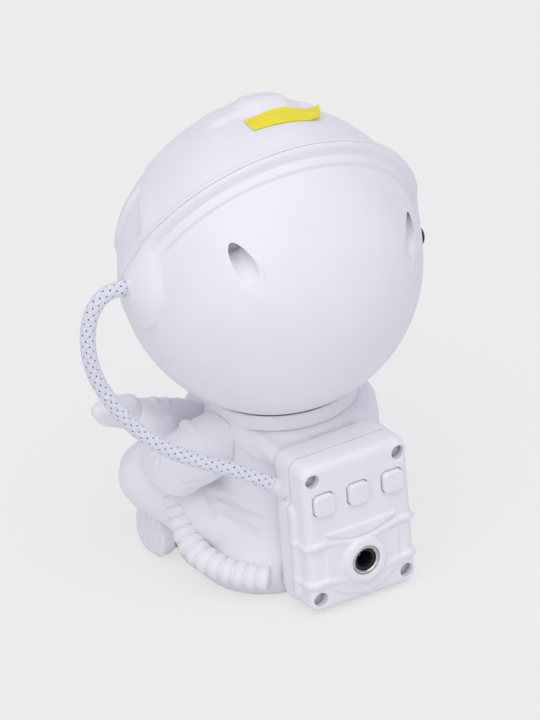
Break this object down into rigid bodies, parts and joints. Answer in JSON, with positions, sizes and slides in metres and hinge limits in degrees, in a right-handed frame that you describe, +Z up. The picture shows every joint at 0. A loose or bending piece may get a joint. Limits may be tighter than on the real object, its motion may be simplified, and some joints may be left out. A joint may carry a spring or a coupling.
{
  "type": "planetarium projector",
  "caption": "Seated astronaut star projector: ball helmet with lens and visor on a magnetic neck seat, guitar, backpack with buttons and power socket, braided cord.",
  "frame": {"origin": "on the table under the centre of the neck, at the underside of the anti-slip pad", "axes": "+Z up, -Y the way the figure faces, +X the figure's left hand side; the helmet's resting attitude is turned, leant and pitched back from these axes"},
  "size_m": [0.1432, 0.1109, 0.1779],
  "materials": {
    "white_abs": "satin moulded ABS",
    "white_button": "semi-gloss ABS",
    "visor_smoke": "smoked clear acrylic, polished",
    "black_plastic": "matte black ABS",
    "clear_acrylic": "clear acrylic, moulded waves",
    "lens_acrylic": "polished clear acrylic",
    "black_rubber": "smooth rubber",
    "white_rubber": "soft PVC",
    "pad_rubber": "anti-slip foam rubber",
    "screw_steel": "zinc-plated steel",
    "cap_steel": "pressed sheet steel",
    "magnet_nickel": "nickel-plated magnet",
    "jack_nickel": "nickel-plated brass",
    "laser_brass": "machined brass",
    "sink_aluminium": "extruded aluminium",
    "motor_steel": "drawn steel can",
    "board_green": "solder-masked glass epoxy",
    "board_white": "white solder mask",
    "switch_black": "moulded nylon",
    "white_nylon": "natural nylon",
    "cord_braid": "white polyester braid over foam core"
  },
  "bodies": {
    "base": {"body_shell": "white_abs", "base_plate": "white_abs", "base_pad": "pad_rubber", "base_screws": "screw_steel", "neck_collar": "white_abs", "left_arm": "white_abs", "right_arm": "white_abs", "left_glove": "white_abs", "right_glove": "white_abs", "left_boot": "white_abs", "right_boot": "white_abs", "guitar_body": "white_abs", "guitar_neck": "white_abs", "air_hose": "white_abs", "backpack_tray": "white_abs", "backpack_cover": "white_abs", "cover_screws": "screw_steel", "control_board": "board_green", "tact_switches": "switch_black", "jack_sleeve": "jack_nickel", "jack_insert": "black_plastic", "jack_pin": "jack_nickel", "pack_bush": "white_rubber", "braided_cord": "cord_braid"},
    "magnet": {"seat_magnet": "magnet_nickel"},
    "head": {"rear_shell": "white_abs", "front_shell": "white_abs", "visor": "visor_smoke", "ear_plug": "black_rubber", "ear_bush": "white_rubber", "head_screws": "screw_steel", "steel_cap": "cap_steel", "optics_chassis": "black_plastic", "inner_mask": "black_plastic", "lens_barrel": "black_plastic", "projection_lens": "lens_acrylic", "led_board": "board_white", "heat_sink": "sink_aluminium", "motor": "motor_steel", "laser_module": "laser_brass"},
    "disc": {"wave_disc": "clear_acrylic"},
    "pinion": {"motor_pinion": "white_nylon"},
    "grating": {"grating_wheel": "white_nylon"},
    "left_button": {"button_left": "white_button"},
    "middle_button": {"button_middle": "white_button"},
    "right_button": {"button_right": "white_button"}
  },
  "joints": [
    {"name": "head_yaw", "type": "hinge", "parent": "base", "child": "magnet", "pos_m": [0, 0, 0.1175], "axis": [0, 0, 1], "range_deg": [-60, 60], "deforming": ["braided_cord"]},
    {"name": "head_tilt", "type": "hinge", "parent": "magnet", "child": "head", "pos_m": [0, 0, 0.1175], "axis": [0.9868, -0.0121, 0.1616], "range_deg": [-20, 25]},
    {"name": "wave_disc_spin", "type": "hinge", "parent": "head", "child": "disc", "pos_m": [-0.00101, -0.02233, 0.122], "axis": [-0.0838, -0.8916, 0.445], "continuous": true},
    {"name": "pinion_spin", "type": "hinge", "parent": "head", "child": "pinion", "pos_m": [-0.02363, -0.02855, 0.10529], "axis": [-0.0838, -0.8916, 0.445], "continuous": true},
    {"name": "grating_spin", "type": "hinge", "parent": "head", "child": "grating", "pos_m": [0.01948, -0.01293, 0.14471], "axis": [-0.0838, -0.8916, 0.445], "continuous": true},
    {"name": "button_left_press", "type": "slide", "parent": "base", "child": "left_button", "axis": [0, -1, 0], "range_m": [0, 0.0008], "stiffness_N_per_m": 800, "springref_m": -0.0005},
    {"name": "button_middle_press", "type": "slide", "parent": "base", "child": "middle_button", "axis": [0, -1, 0], "range_m": [0, 0.0008], "stiffness_N_per_m": 800, "springref_m": -0.0005},
    {"name": "button_right_press", "type": "slide", "parent": "base", "child": "right_button", "axis": [0, -1, 0], "range_m": [0, 0.0008], "stiffness_N_per_m": 800, "springref_m": -0.0005}
  ],
  "couplings": [
    {"joint": "pinion_spin", "follows": "wave_disc_spin", "ratio": -5},
    {"joint": "grating_spin", "follows": "wave_disc_spin", "ratio": -3}
  ]
}
